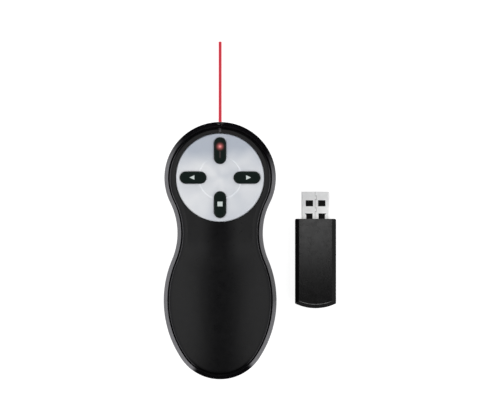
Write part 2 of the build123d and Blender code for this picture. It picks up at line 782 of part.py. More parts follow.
def make_bay_switch():
    size_x, size_y, size_z = bay_switch_size
    inside_top = bay_axis_z + bay_plug_height / 2
    low = inside_top + bay_wall
    y = bay_switch_y
    body = block(-size_x / 2, size_x / 2, y - size_y / 2, y + size_y / 2, low, low + size_z)
    body = chamfer(body.faces().sort_by(Axis.Z)[-1].edges(), switch_bevel)
    return body + post(0, y, inside_top - bay_switch_pin_reach, low + bond, bay_switch_pin_radius)


# ---------------------------------------------------------------- boards and what is on them

def make_main_board():
    board = post(0, head_y, board_low_z, board_top_z, board_head_radius)
    half = board_tail_width / 2
    tail = block(-half, half, board_rear_y, head_y, board_low_z, board_top_z)
    tail = fillet(tail.edges().filter_by(Axis.Z).group_by(Axis.Y)[0], board_corner)
    board += tail
    for x, y in both_sides(boss_places[:1]):
        board -= post(x, y, 0.0, far, cover_boss_radius + board_notch_play)
    for x, y in both_sides(board_posts):
        board -= post(x, y, 0.0, far, board_screw_radius + screw_hole_play)
    return board


def cross_slot(x, y, z0, z1, radius):
    """Cross recess in a screw head."""
    reach = radius * screw_slot_reach
    half = screw_slot_width / 2
    slot = block(x - half, x + half, y - reach, y + reach, z0, z1)
    return slot + block(x - reach, x + reach, y - half, y + half, z0, z1)


def make_board_screws():
    screws = []
    for x, y in both_sides(board_posts):
        low = board_low_z - board_screw_depth + screw_tip_play
        screw = post(x, y, low, board_top_z + board_screw_head_height / 2, board_screw_radius)
        head_top = board_top_z + board_screw_head_height
        head = post(x, y, board_top_z, head_top, board_screw_head_radius)
        head = fillet(head.faces().sort_by(Axis.Z)[-1].edges(), screw_head_round)
        head -= cross_slot(x, y, head_top - screw_slot_depth, head_top + past, board_screw_head_radius)
        screws.append(screw + head)
    return Compound(children=screws)


def make_housing_screws():
    screws = []
    for x, y in both_sides(boss_places):
        head_low = screw_head_seat_z - screw_head_height
        screw = post(x, y, head_low + bond, screw_tip_z, screw_radius)
        head = post(x, y, head_low, screw_head_seat_z, screw_head_radius)
        head = fillet(head.faces().sort_by(Axis.Z)[0].edges(), screw_head_round)
        head -= cross_slot(x, y, 0.0, head_low + screw_slot_depth, screw_head_radius)
        screws.append(screw + head)
    return Compound(children=screws)


def on_board(x, y, size, z):
    size_x, size_y, size_z = size
    return block(x - size_x / 2, x + size_x / 2, y - size_y / 2, y + size_y / 2, z, z + size_z)


def make_capacitors():
    first_y = radio_chip_y - (capacitor_rows - 1) / 2 * capacitor_pitch
    places = [first_y + row * capacitor_pitch for row in range(capacitor_rows)]
    return Compound(children=[on_board(capacitor_x, y, capacitor_size, board_top_z) for y in places])


def meander(x, y_first, width, turns, z):
    """Printed zigzag aerial: cross bars joined alternately at their ends."""
    line = antenna_line
    top = z + antenna_thickness
    trace = block(x - width / 2, x + width / 2, y_first - line, y_first, z, top)
    for turn in range(turns):
        y = y_first - (turn + 1) * antenna_pitch
        end = x + (width / 2 - line if turn % 2 else -width / 2)
        trace += block(x - width / 2, x + width / 2, y - line, y, z, top)
        trace += block(end, end + line, y - line, y + antenna_pitch, z, top)
    return trace


# ---------------------------------------------------------------- laser

def make_laser_barrel():
    barrel = rod(0, laser_z, barrel_rear_y, barrel_front_y, barrel_radius)
    barrel = chamfer(barrel.edges().group_by(Axis.Y)[-1], barrel_bevel)
    lens_front = barrel_front_y - lens_front_wall
    barrel -= rod(0, laser_z, barrel_rear_y - past, lens_front - lens_thickness, diode_can_radius)
    barrel -= rod(0, laser_z, lens_front - lens_thickness, lens_front, lens_radius)
    barrel -= rod(0, laser_z, lens_front - past, far, aperture_radius)
    flange_front = barrel_rear_y + diode_flange_thickness
    return barrel - rod(0, laser_z, barrel_rear_y - past, flange_front, diode_flange_radius)


def make_laser_lens():
    lens_front = barrel_front_y - lens_front_wall
    lens = rod(0, laser_z, lens_front - lens_thickness, lens_front, lens_radius)
    return fillet(lens.edges().group_by(Axis.Y)[0], lens_edge_round)


def make_laser_diode():
    flange_front = barrel_rear_y + diode_flange_thickness
    diode = rod(0, laser_z, barrel_rear_y, flange_front, diode_flange_radius)
    can_radius = diode_can_radius - barrel_play
    diode += rod(0, laser_z, flange_front - bond, flange_front + diode_can_length, can_radius)
    rear = barrel_rear_y - diode_lead_length
    for x, z in ((-1, 0), (1, 0), (0, 1)):
        lead_x = x * diode_lead_circle
        lead_z = laser_z + z * diode_lead_circle
        diode += rod(lead_x, lead_z, rear, barrel_rear_y + bond, diode_lead_radius)
    return diode


def make_driver_board():
    front = barrel_rear_y - diode_lead_length
    half = driver_board_width / 2
    tall = driver_board_height / 2
    rear = front - driver_board_thickness
    board = block(-half, half, rear, front, laser_z - tall, laser_z + tall)
    half = driver_chip_size / 2
    return board + block(-half, half, rear - driver_chip_height, rear + bond, laser_z - half, laser_z + half)


def make_laser_window():
    seat_y = front_tip_y - window_seat_depth
    window = rod(0, laser_z, seat_y, seat_y + window_thickness, window_radius)
    return chamfer(window.edges().group_by(Axis.Y)[-1], window_bevel)


def make_laser_clip():
    inner = barrel_radius + barrel_play
    outer = inner + clip_wall
    y1 = clip_rear_y + clip_width
    arch = rod(0, laser_z, clip_rear_y, y1, outer)
    arch += block(-outer, outer, clip_rear_y, y1, deck_top_z, laser_z)
    for side in (1, -1):
        foot = sorted([side * inner, side * (outer + clip_foot)])
        arch += block(foot[0], foot[1], clip_rear_y, y1, deck_top_z, deck_top_z + clip_wall)
    arch &= block(-far, far, clip_rear_y, y1, deck_top_z, far)
    arch -= rod(0, laser_z, 0.0, far, inner)
    return arch - block(-inner, inner, 0.0, far, deck_top_z - past, laser_z)


# ---------------------------------------------------------------- USB receiver

def receiver_plan(inset=0.0):
    """Straight-sided body with a bowed end that matches the clicker's tail."""
    half = receiver_width / 2 - inset
    end_y = receiver_end_y + inset
    bow = tail_end_radius - inset
    corner_y = end_y + bow - sqrt(bow ** 2 - half ** 2)
    front_y = receiver_front_y - inset
    edges = [
        ThreePointArc((-half, corner_y), (0, end_y), (half, corner_y)),
        Line((half, corner_y), (half, front_y)),
        Line((half, front_y), (-half, front_y)),
        Line((-half, front_y), (-half, corner_y)),
    ]
    return Pos(receiver_x, 0, 0) * make_face(edges)


def plug_form(grow, y0, y1):
    half = plug_width / 2 + grow
    tall = plug_height / 2 + grow
    body = block(receiver_x - half, receiver_x + half, y0, y1, receiver_mid_z - tall, receiver_mid_z + tall)
    return fillet(body.edges().filter_by(Axis.Y), plug_corner + grow)


def make_receiver_shell(upper):
    """Lower half; the upper half is its mirror image about the parting plane."""
    half = extrude(receiver_plan(), receiver_mid_z)
    under = half.faces().sort_by(Axis.Z)[0]
    edges = under.edges().sort_by(Axis.Y)[:-1]
    half = half.chamfer(receiver_bevel_plan, receiver_bevel_height, edges, face=under)
    under = half.faces().sort_by(Axis.Z)[0]
    half = fillet(under.edges().sort_by(Axis.Y)[:-1], receiver_bevel_round)
    half = fillet(half.edges().filter_by(Axis.Z), receiver_corner)
    half = chamfer(half.faces().sort_by(Axis.Z)[-1].edges(), receiver_seam_bevel)
    half -= extrude(Pos(0, 0, receiver_wall) * receiver_plan(receiver_wall), receiver_height)
    half -= plug_form(plug_play, receiver_front_y - receiver_wall - past, far)
    if upper:
        half = Pos(0, 0, receiver_height) * half.mirror(Plane.XY)
    return half


def plug_seam(top):
    """Groove along the rolled shell's seam, which jogs sideways round its dovetails."""
    x = receiver_x + plug_seam_x
    points = [(x, plug_tip_y + past)]
    for front in plug_dovetail_fronts:
        y1 = plug_tip_y - front
        y0 = y1 - plug_dovetail_length
        points += [(x, y1), (x + plug_dovetail_reach, y1 + plug_dovetail_flare),
                   (x + plug_dovetail_reach, y0 - plug_dovetail_flare), (x, y0)]
    points.append((x, receiver_front_y - past))
    strips = []
    for start, end in zip(points, points[1:]):
        middle = ((start[0] + end[0]) / 2, (start[1] + end[1]) / 2)
        run = hypot(end[0] - start[0], end[1] - start[1])
        turn = degrees(atan2(end[1] - start[1], end[0] - start[0]))
        strip = Box(run + plug_seam_width, plug_seam_width, 2 * plug_seam_depth)
        strips.append(Pos(middle[0], middle[1], top) * Rot(0, 0, turn) * strip)
    return Compound(children=strips)


def make_usb_shell():
    root_y = receiver_front_y - plug_root
    shell = plug_form(0.0, root_y, plug_tip_y)
    shell -= plug_form(-plug_sheet, root_y - past, plug_tip_y + past)
    top = receiver_mid_z + plug_height / 2
    low = receiver_mid_z - plug_height / 2
    width, depth = plug_window
    for side in (1, -1):
        x = receiver_x + side * plug_window_x
        y1 = plug_tip_y - plug_window_front
        for face_z in (top, low):
            shell -= block(x - width / 2, x + width / 2, y1 - depth, y1, face_z - bond, face_z + bond)
        y1 = plug_tip_y - plug_slot_front
        half = plug_slot_width / 2
        shell -= block(x - half, x + half, receiver_front_y - past, y1, top - bond, top + bond)
        corner_x = x + side * half
        wing = Polyline((x, y1 - plug_slot_wing), (corner_x, y1 - plug_slot_wing),
                        (corner_x + side * plug_slot_wing, y1), (x, y1), close=True)
        shell -= extrude(Pos(0, 0, top - bond) * make_face(wing), 2 * bond, dir=(0, 0, 1))
    return shell - plug_seam(top)


def make_usb_tongue():
    half = plug_width / 2 - plug_sheet - tongue_side_gap
    top = receiver_mid_z + plug_height / 2 - plug_sheet
    low = top - tongue_thickness
    y0 = receiver_front_y - plug_root
    y1 = plug_tip_y - tongue_setback
    tongue = block(receiver_x - half, receiver_x + half, y0, y1, low, top)
    tongue = fillet(tongue.edges().filter_by(Axis.Y), plug_corner - plug_sheet)
    return tongue - pad_forms(low - bond, low + contact_pad_thickness)


def pad_forms(z0, z1):
    """Four contact strips under the tongue, for their grooves and for the strips themselves."""
    strips = []
    for pad in range(contact_pad_count):
        x = receiver_x + (pad - (contact_pad_count - 1) / 2) * contact_pad_pitch
        y1 = plug_tip_y - tongue_setback - contact_pad_setback
        half = contact_pad_width / 2
        strips.append(block(x - half, x + half, y1 - contact_pad_length, y1, z0, z1))
    return Compound(children=strips)


def make_usb_contacts():
    low = receiver_mid_z + plug_height / 2 - plug_sheet - tongue_thickness
    return pad_forms(low, low + contact_pad_thickness)


def receiver_board_z():
    """Top face of the receiver's board: it carries the tongue's root."""
    return receiver_mid_z + plug_height / 2 - plug_sheet - tongue_thickness


def make_receiver_board():
    top = receiver_board_z()
    half = receiver_board_width / 2
    board = block(receiver_x - half, receiver_x + half, receiver_board_rear_y, receiver_board_front_y,
                  top - receiver_board_thickness, top)
    return fillet(board.edges().filter_by(Axis.Z), receiver_board_corner)


def main():
    form = casing()
    cavity = casing(shell_wall)
    pieces["bottom_shell"] = make_bottom_shell(form, cavity)
    pieces["side_band"] = make_side_band(form)
    cover_block = make_cover_block()
    pieces["top_cover"] = make_top_cover(cover_block)
    pieces["status_light_pipe"] = light_pipe_form() & cover_block
    pieces["control_panel"] = make_panel()
    for name, x, y, upright in button_places():
        pieces["button_" + name] = make_button(x, y, upright)
        pieces["switch_" + name] = make_switch(x, y)
        pieces["plunger_" + name] = make_plunger(x, y)
    pieces["battery_door"] = make_battery_door(form, cavity)
    pieces["battery_left"] = make_cell(-1)
    pieces["battery_right"] = make_cell(1)
    pieces["battery_link_plate"] = make_link_plate()
    pieces["battery_contact_positive"] = make_front_contact(-1)
    pieces["battery_contact_negative"] = make_front_contact(1)
    pieces["chassis"] = make_chassis()
    pieces["receiver_bay"] = make_receiver_bay(cavity)
    pieces["bay_switch"] = make_bay_switch()
    pieces["main_board"] = make_main_board()
    pieces["board_screws"] = make_board_screws()
    pieces["housing_screws"] = make_housing_screws()
    pieces["laser_barrel"] = make_laser_barrel()
    pieces["laser_lens"] = make_laser_lens()
    pieces["laser_diode"] = make_laser_diode()
    pieces["laser_driver_board"] = make_driver_board()
    pieces["laser_window"] = make_laser_window()
    pieces["laser_clip"] = make_laser_clip()
    pieces["radio_chip"] = on_board(0.0, radio_chip_y, radio_chip_size, board_top_z)
    pieces["crystal"] = on_board(crystal_x, radio_chip_y, crystal_size, board_top_z)
    pieces["capacitors"] = make_capacitors()
    pieces["antenna"] = meander(0.0, antenna_first_y, antenna_width, antenna_turns, board_top_z)
    pieces["status_led"] = on_board(0.0, led_y, led_size, board_top_z)
    pieces["receiver_shell_bottom"] = make_receiver_shell(False)
    pieces["receiver_shell_top"] = make_receiver_shell(True)
    pieces["usb_shell"] = make_usb_shell()
    pieces["usb_tongue"] = make_usb_tongue()
    pieces["usb_contacts"] = make_usb_contacts()
    pieces["receiver_board"] = make_receiver_board()
    top = receiver_board_z()
    chip_y = receiver_board_front_y - receiver_chip_setback
    pieces["receiver_chip"] = on_board(receiver_x, chip_y, receiver_chip_size, top)
    crystal_y = receiver_board_front_y - receiver_crystal_setback
    crystal_at = receiver_x + receiver_crystal_x
    pieces["receiver_crystal"] = on_board(crystal_at, crystal_y, receiver_crystal_size, top)
    aerial_length = receiver_antenna_turns * antenna_pitch + antenna_line
    aerial_y = receiver_board_rear_y + receiver_antenna_margin + aerial_length
    pieces["receiver_antenna"] = meander(receiver_x, aerial_y, receiver_antenna_width,
                                         receiver_antenna_turns, top)
    os.makedirs("parts", exist_ok=True)
    for name, shape in pieces.items():
        export_step(shape, f"parts/{name}.step")


main()
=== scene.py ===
import json
import math

import bmesh
import bpy
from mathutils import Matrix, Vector


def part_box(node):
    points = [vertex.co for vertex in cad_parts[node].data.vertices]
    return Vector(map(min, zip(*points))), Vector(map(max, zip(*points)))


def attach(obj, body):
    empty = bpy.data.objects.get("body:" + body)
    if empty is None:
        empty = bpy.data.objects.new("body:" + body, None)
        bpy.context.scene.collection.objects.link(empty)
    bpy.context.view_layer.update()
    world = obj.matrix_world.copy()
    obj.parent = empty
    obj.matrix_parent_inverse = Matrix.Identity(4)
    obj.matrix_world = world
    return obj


# Looks of the presentation clicker and its USB receiver. Metres, in the CAD's frame:
# +Y out of the laser end, +X towards the receiver, +Z up.
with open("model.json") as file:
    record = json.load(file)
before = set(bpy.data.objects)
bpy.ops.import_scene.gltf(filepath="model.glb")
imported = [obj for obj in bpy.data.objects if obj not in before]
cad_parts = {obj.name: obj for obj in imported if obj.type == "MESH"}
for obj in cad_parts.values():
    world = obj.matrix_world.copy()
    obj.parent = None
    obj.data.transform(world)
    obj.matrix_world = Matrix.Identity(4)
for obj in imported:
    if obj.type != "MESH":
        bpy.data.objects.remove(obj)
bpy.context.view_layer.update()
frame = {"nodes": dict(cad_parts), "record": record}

MM = 0.001


def middle(node):
    low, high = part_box(node)
    return (low + high) / 2


HEAD = middle("control_panel")
RECEIVER = middle("receiver_shell_top")
RECEIVER_NODES = frame["record"]["behaviour"]["bodies"]["receiver"]

# What the photograph shows: the point in its centre, its width, and the height where that width holds.
PICTURE_CENTRE = (12.8 * MM, 17.47 * MM)
PICTURE_WIDTH = 214.3 * MM
PICTURE_LEVEL = 12.0 * MM


# ---------------------------------------------------------------- materials

class Nodes:
    """Makes and joins the nodes of one material, or of the world."""

    def __init__(self, name, world_tree=None):
        if world_tree is None:
            self.material = bpy.data.materials.new(name)
            self.material.use_nodes = True
            self.tree = self.material.node_tree
        else:
            self.tree = world_tree
        self.tree.nodes.clear()
        self.out = self.add("ShaderNodeOutputWorld" if world_tree else "ShaderNodeOutputMaterial")
        self.place = self.add("ShaderNodeTexCoord").outputs["Object"]

    def add(self, kind, **settings):
        node = self.tree.nodes.new(kind)
        for key, value in settings.items():
            setattr(node, key, value)
        return node

    def join(self, a, b):
        self.tree.links.new(a, b)

    def number(self, operation, *values):
        node = self.add("ShaderNodeMath", operation=operation)
        for socket, value in zip(node.inputs, values):
            if isinstance(value, (int, float)):
                socket.default_value = value
            else:
                self.join(value, socket)
        return node.outputs[0]

    def vector(self, operation, first, second=None):
        node = self.add("ShaderNodeVectorMath", operation=operation)
        for socket, value in zip(node.inputs, (first, second)):
            if isinstance(value, tuple):
                socket.default_value = value
            elif value is not None:
                self.join(value, socket)
        scalar = operation in ("DOT_PRODUCT", "LENGTH", "DISTANCE")
        return node.outputs["Value" if scalar else "Vector"]

    def parts(self, vector):
        """The x, y and z of a vector."""
        node = self.add("ShaderNodeSeparateXYZ")
        self.join(vector, node.inputs[0])
        return node.outputs

    def facing(self):
        """The x, y and z of the surface's direction."""
        return self.parts(self.add("ShaderNodeNewGeometry").outputs["Normal"])

    def noise(self, scale, detail=3.0, rough=0.55, place=None):
        node = self.add("ShaderNodeTexNoise")
        node.inputs["Scale"].default_value = scale
        node.inputs["Detail"].default_value = detail
        node.inputs["Roughness"].default_value = rough
        self.join(place or self.place, node.inputs["Vector"])
        return node.outputs["Fac"]

    def spread(self, value, low, high, start=0.3, end=0.7):
        """low to high, where the value goes from start to end."""
        node = self.add("ShaderNodeMapRange")
        self.join(value, node.inputs["Value"])
        node.inputs["From Min"].default_value = start
        node.inputs["From Max"].default_value = end
        node.inputs["To Min"].default_value = low
        node.inputs["To Max"].default_value = high
        return node.outputs["Result"]

    def smooth(self, value, start, end):
        """0 up to start and 1 from end, with a soft step between."""
        node = self.add("ShaderNodeMapRange", interpolation_type="SMOOTHSTEP")
        self.join(value, node.inputs["Value"])
        node.inputs["From Min"].default_value = start
        node.inputs["From Max"].default_value = end
        return node.outputs["Result"]

    def patches(self):
        """Slow, weak variation of a large surface, 0 to 1."""
        return self.spread(self.noise(90.0, 4.0), 0.0, 1.0)

    def satin(self, rough):
        """Roughness that varies a little round that value."""
        return self.spread(self.noise(400.0, 3.0), rough - 0.03, rough + 0.03)

    def blend(self, factor, first, second):
        node = self.add("ShaderNodeMix", data_type="RGBA")
        self.join(factor, node.inputs["Factor"])
        for socket, colour in ((node.inputs[6], first), (node.inputs[7], second)):
            if isinstance(colour, tuple):
                socket.default_value = (*colour, 1.0)
            else:
                self.join(colour, socket)
        return node.outputs[2]

    def bump(self, height, strength, distance):
        node = self.add("ShaderNodeBump")
        node.inputs["Strength"].default_value = strength
        node.inputs["Distance"].default_value = distance
        self.join(height, node.inputs["Height"])
        return node.outputs["Normal"]

    def shader(self, **sockets):
        node = self.add("ShaderNodeBsdfPrincipled")
        for key, value in sockets.items():
            socket = node.inputs[key.replace("_", " ")]
            if hasattr(value, "is_linked"):
                self.join(value, socket)
            else:
                socket.default_value = value
        self.join(node.outputs[0], self.out.inputs["Surface"])


def scaled(colour, share):
    return tuple(min(1.0, part * share) for part in colour)


def grey(level):
    return (level, level, level)


def moulded(name, colour, rough, level=0.5, grain=0.25, relief=6e-6, strength=0.35, vary=0.12):
    """Moulded plastic, rubber or paint: grain is the texture's size in mm, relief its height."""
    n = Nodes(name)
    base = n.blend(n.patches(), scaled(colour, 1 - vary), scaled(colour, 1 + vary))
    fine = n.noise(1.0 / (grain * MM), 2.0)
    n.shader(Base_Color=base, Roughness=n.satin(rough), Specular_IOR_Level=level,
             Normal=n.bump(fine, strength, relief))
    return n.material


def plated(name, colour, rough, along=(1.0, 1.0, 1.0), vary=0.06):
    """Metal with fine drawn marks, which are stretched where along is below 1."""
    n = Nodes(name)
    mapping = n.add("ShaderNodeMapping")
    mapping.inputs["Scale"].default_value = along
    n.join(n.place, mapping.inputs["Vector"])
    marks = n.noise(2600.0, 4.0, 0.6, mapping.outputs[0])
    base = n.blend(n.spread(marks, 0.0, 1.0), scaled(colour, 1 - vary), scaled(colour, 1 + vary))
    n.shader(Base_Color=base, Roughness=n.spread(marks, rough - 0.05, rough + 0.05), Metallic=1.0,
             Normal=n.bump(marks, 0.15, 4e-6))
    return n.material


def clear(name, colour, rough, weight=1.0):
    """Clear or smoky plastic with a little haze."""
    n = Nodes(name)
    haze = n.noise(700.0)
    tint = n.blend(n.spread(haze, 0.0, 1.0), scaled(colour, 0.92), colour)
    n.shader(Base_Color=tint, Roughness=n.spread(haze, rough, rough + 0.05), IOR=1.49,
             Transmission_Weight=weight, Specular_IOR_Level=0.25)
    return n.material


def soft_touch():
    """Black soft-touch paint: matt at a grazing angle, with a painted sheen that makes it a little paler
    on the flat of head and neck.
    """
    n = Nodes("cover_soft_touch")
    x, y, _ = n.parts(n.place)
    off_axis = n.smooth(n.number("ABSOLUTE", x), 1.5 * MM, 9.0 * MM)
    before_palm = n.smooth(y, -10.0 * MM, 3.0 * MM)
    laser_end = n.smooth(y, 36.0 * MM, 46.0 * MM)
    level = n.smooth(n.facing()["Z"], 0.97, 0.999)
    # Painted sheen: up-facing flats off the axis ahead of the palm, and at the laser end, get the paler
    # colour below.
    reach = n.number("MAXIMUM", n.number("MULTIPLY", off_axis, before_palm), laser_end)
    patches = n.patches()
    dark = n.blend(patches, (0.0021, 0.0021, 0.0025), (0.0027, 0.0027, 0.0031))
    # The painted sheen's colour.
    pale = n.blend(patches, (0.014, 0.014, 0.0145), (0.016, 0.016, 0.0165))
    grazing = n.add("ShaderNodeLayerWeight").outputs["Facing"]
    n.shader(Base_Color=n.blend(n.number("MULTIPLY", reach, level), dark, pale), Roughness=n.satin(0.3),
             Specular_IOR_Level=n.spread(grazing, 0.19, 0.05, 0.2, 0.5),
             Normal=n.bump(n.noise(2500.0, 2.0), 0.1, 3e-6))
    return n.material


def receiver_plastic():
    """Black case plastic, with a painted highlight along the crease over its rear end and painted light on
    the rear slope.
    """
    n = Nodes("receiver_black")
    x, _, _ = n.parts(n.vector("SUBTRACT", n.place, (RECEIVER.x, 0.0, 0.0)))
    _, ahead, up = n.facing()
    backwards = n.number("MULTIPLY", ahead, -1.0)
    # Painted highlight: a pale line along the crease between top and rear slope, fainter at the sides,
    # broken up by noise.
    crease = n.number("SUBTRACT", n.smooth(backwards, 0.08, 0.23), n.smooth(backwards, 0.3, 0.47))
    crease = n.number("MULTIPLY", crease, n.smooth(up, 0.6, 0.8))
    beside = n.smooth(n.number("ABSOLUTE", x), 3.0 * MM, 8.5 * MM)
    painted_crease_highlight = n.number("MULTIPLY", crease, n.spread(beside, 1.0, 0.3, 0.0, 1.0))
    painted_crease_highlight = n.number("MULTIPLY", painted_crease_highlight, n.spread(n.noise(1500.0, 2.0), 0.7, 1.1))
    plain = n.blend(n.patches(), (0.0014, 0.0013, 0.0014), (0.0018, 0.0017, 0.0018))
    # Painted light: the rear slope is given a paler black.
    painted_rear_slope_light = n.blend(n.smooth(backwards, 0.3, 0.45), plain, grey(0.01))
    n.shader(Base_Color=n.blend(painted_crease_highlight, painted_rear_slope_light, grey(0.38)), Roughness=n.satin(0.26),
             Specular_IOR_Level=0.14, Normal=n.bump(n.noise(500.0, 2.0), 0.02, 1e-6))
    return n.material


def plug_sheet():
    """Bright tin plate, with painted shade in the seam's groove and its dovetails, and painted light that
    grows towards its root.
    """
    n = Nodes("plug_steel")
    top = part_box("usb_shell")[1].z
    centre = middle("usb_shell")
    here = n.vector("SUBTRACT", n.place, (centre.x, centre.y, top))
    x, _, z = n.parts(here)
    # Painted shade: a dark line in the seam's groove and its dovetails.
    by_seam = n.number("LESS_THAN", n.number("ABSOLUTE", x), 1.2 * MM)
    below_top = n.number("ABSOLUTE", n.number("ADD", z, 0.1 * MM))
    groove = n.number("MULTIPLY", by_seam, n.number("LESS_THAN", below_top, 0.06 * MM))
    # Painted light: paler towards the root and the right side; the clouds on it are random.
    painted_root_light = n.vector("DOT_PRODUCT", here, (0.35, -1.0, 0.0))
    cloud = n.spread(n.noise(420.0, 2.0), -0.2, 0.2)
    painted_light_and_clouds = n.number("ADD", n.spread(painted_root_light, 0.0, 1.0, -5.0 * MM, 4.0 * MM), cloud)
    sheet = n.blend(painted_light_and_clouds, (0.74, 0.745, 0.75), (0.98, 0.985, 0.98))
    fine = n.noise(2600.0, 3.0)
    n.shader(Base_Color=n.blend(groove, sheet, grey(0.16)), Metallic=0.4,
             Roughness=n.spread(fine, 0.38, 0.46), Normal=n.bump(fine, 0.12, 3e-6))
    return n.material


def pearl_panel():
    """Silver flake paint with painted reflections in its colour: bluish and darker towards the laser end,
    paler behind and to the left, with soft fan-shaped painted highlights; the clouds are random.
    """
    n = Nodes("panel_silver")
    from_centre = n.vector("SUBTRACT", n.place, (0.0, HEAD.y, 0.0))
    flat = n.vector("MULTIPLY", from_centre, (1.0, 1.0, 0.0))
    # Painted reflections: darker towards the laser end, paler to the left, with fan-shaped painted
    # highlights round the centre.
    ahead = n.vector("DOT_PRODUCT", flat, (-0.2, 0.98, 0.0))
    left = n.vector("DOT_PRODUCT", flat, (-13.0, 3.0, 0.0))
    reach = n.number("ADD", n.vector("LENGTH", flat), 9.0 * MM)
    painted_fans = n.spread(n.noise(2.3, 1.0, 0.4, n.vector("DIVIDE", flat, reach)), -0.25, 0.25)
    cloud = n.spread(n.noise(95.0, 2.0, 0.5), -0.12, 0.12)
    painted_light_and_clouds = n.number("SUBTRACT", n.number("ADD", left, 0.8), n.smooth(ahead, 3.0 * MM, 15.0 * MM))
    painted_light_and_clouds = n.number("ADD", painted_light_and_clouds, n.number("ADD", painted_fans, cloud))
    flake = n.noise(5200.0, 2.0)
    n.shader(Base_Color=n.blend(painted_light_and_clouds, (0.45, 0.49, 0.56), (0.76, 0.775, 0.8)), Metallic=0.3,
             Roughness=n.spread(flake, 0.38, 0.46), Normal=n.bump(flake, 0.12, 3e-6))
    return n.material


def circuit_board():
    """Green solder mask with paler tracks under it."""
    n = Nodes("board_green")
    tracks = n.add("ShaderNodeTexBrick", offset=0.5, squash=1.0)
    n.join(n.place, tracks.inputs["Vector"])
    tracks.inputs["Scale"].default_value = 900.0
    tracks.inputs["Mortar Size"].default_value = 0.08
    tracks.inputs["Color1"].default_value = (0.006, 0.075, 0.03, 1.0)
    tracks.inputs["Color2"].default_value = (0.008, 0.09, 0.036, 1.0)
    tracks.inputs["Mortar"].default_value = (0.02, 0.16, 0.06, 1.0)
    n.shader(Base_Color=tracks.outputs["Color"], Roughness=n.spread(n.noise(300.0), 0.28, 0.4),
             Normal=n.bump(tracks.outputs["Fac"], 0.2, 3e-5))
    return n.material


def cell_jacket():
    """Printed battery sleeve: dark green body with a copper band at one end."""
    n = Nodes("cell_jacket")
    _, y, _ = n.parts(n.place)
    band = n.spread(y, 0.0, 1.0, 31.0 * MM, 31.3 * MM)
    body = n.blend(n.spread(n.noise(160.0), 0.0, 1.0), (0.012, 0.07, 0.045), (0.018, 0.09, 0.055))
    n.shader(Base_Color=n.blend(band, body, (0.55, 0.27, 0.1)), Metallic=0.55,
             Roughness=n.spread(n.noise(220.0), 0.24, 0.34))
    return n.material


def printed(name, colour):
    n = Nodes(name)
    ink = n.noise(2400.0)
    n.shader(Base_Color=n.blend(n.spread(ink, 0.0, 1.0), scaled(colour, 0.9), colour),
             Roughness=n.spread(ink, 0.5, 0.62), Normal=n.bump(ink, 0.1, 3e-6))
    return n.material


def laser_glow(centre, reach):
    """Red light under the key's surface: brightest at its centre, gone at reach."""
    n = Nodes("mark_laser_light")
    fade = n.spread(n.vector("DISTANCE", n.place, centre), 1.0, 0.0, 0.0, reach)
    rubber = n.blend(n.noise(900.0), (0.0013, 0.0055, 0.004), (0.0015, 0.0065, 0.0048))
    red = n.blend(n.smooth(fade, 0.55, 1.0), (0.87, 0.22, 0.21), (1.0, 0.33, 0.34))
    n.shader(Base_Color=rubber, Roughness=n.spread(n.noise(1500.0), 0.4, 0.46), Specular_IOR_Level=0.135,
             Emission_Color=red, Emission_Strength=n.number("MULTIPLY", n.number("POWER", fade, 2.4), 1.1))
    return n.material


PLASTICS = {
    "band_gloss": dict(colour=(0.004, 0.0036, 0.0048), rough=0.2, level=0.3, grain=0.5, relief=3e-6,
                       strength=0.1),
    "shell_black": dict(colour=(0.008, 0.008, 0.0085), rough=0.5, level=0.4, grain=0.35, relief=1.6e-5,
                        strength=0.5),
    "button_rubber": dict(colour=(0.0014, 0.006, 0.0044), rough=0.42, level=0.135, grain=0.2, relief=5e-6,
                          strength=0.3),
    "frame_grey": dict(colour=(0.05, 0.05, 0.054), rough=0.5, level=0.4, grain=0.3, relief=1.2e-5,
                       strength=0.4),
    "chip_black": dict(colour=(0.018, 0.018, 0.02), rough=0.55, level=0.4, grain=0.1, relief=8e-6,
                       strength=0.4),
    "switch_black": dict(colour=(0.02, 0.02, 0.02), rough=0.45),
    "plunger_white": dict(colour=(0.7, 0.69, 0.64), rough=0.5, vary=0.04),
    "capacitor_tan": dict(colour=(0.33, 0.22, 0.11), rough=0.4, vary=0.1),
    "led_white": dict(colour=(0.8, 0.8, 0.72), rough=0.35, vary=0.04),
    "tongue_black": dict(colour=(0.0015, 0.0015, 0.0015), rough=0.5, level=0.1),
}
METALS = {
    "contact_nickel": dict(colour=(0.62, 0.6, 0.55), rough=0.28),
    "screw_steel": dict(colour=(0.42, 0.42, 0.43), rough=0.35),
    "barrel_brass": dict(colour=(0.6, 0.42, 0.17), rough=0.3, along=(1.0, 0.1, 1.0)),
    "diode_can": dict(colour=(0.62, 0.5, 0.26), rough=0.3),
    "clip_spring": dict(colour=(0.5, 0.5, 0.5), rough=0.3, along=(1.0, 0.2, 1.0)),
    "crystal_can": dict(colour=(0.6, 0.6, 0.58), rough=0.25),
    "aerial_copper": dict(colour=(0.65, 0.42, 0.2), rough=0.3),
    "pad_gold": dict(colour=(0.78, 0.58, 0.25), rough=0.22),
}
finishes = {
    "cover_soft_touch": soft_touch(),
    "receiver_black": receiver_plastic(),
    "plug_steel": plug_sheet(),
    "panel_silver": pearl_panel(),
    "board_green": circuit_board(),
    "cell_jacket": cell_jacket(),
    "lens_clear": clear("lens_clear", (0.95, 0.95, 0.96), 0.02),
    "light_pipe_smoke": clear("light_pipe_smoke", (0.05, 0.05, 0.055), 0.3, 0.35),
}
finishes.update({name: moulded(name, **look) for name, look in PLASTICS.items()})
finishes.update({name: plated(name, **look) for name, look in METALS.items()})

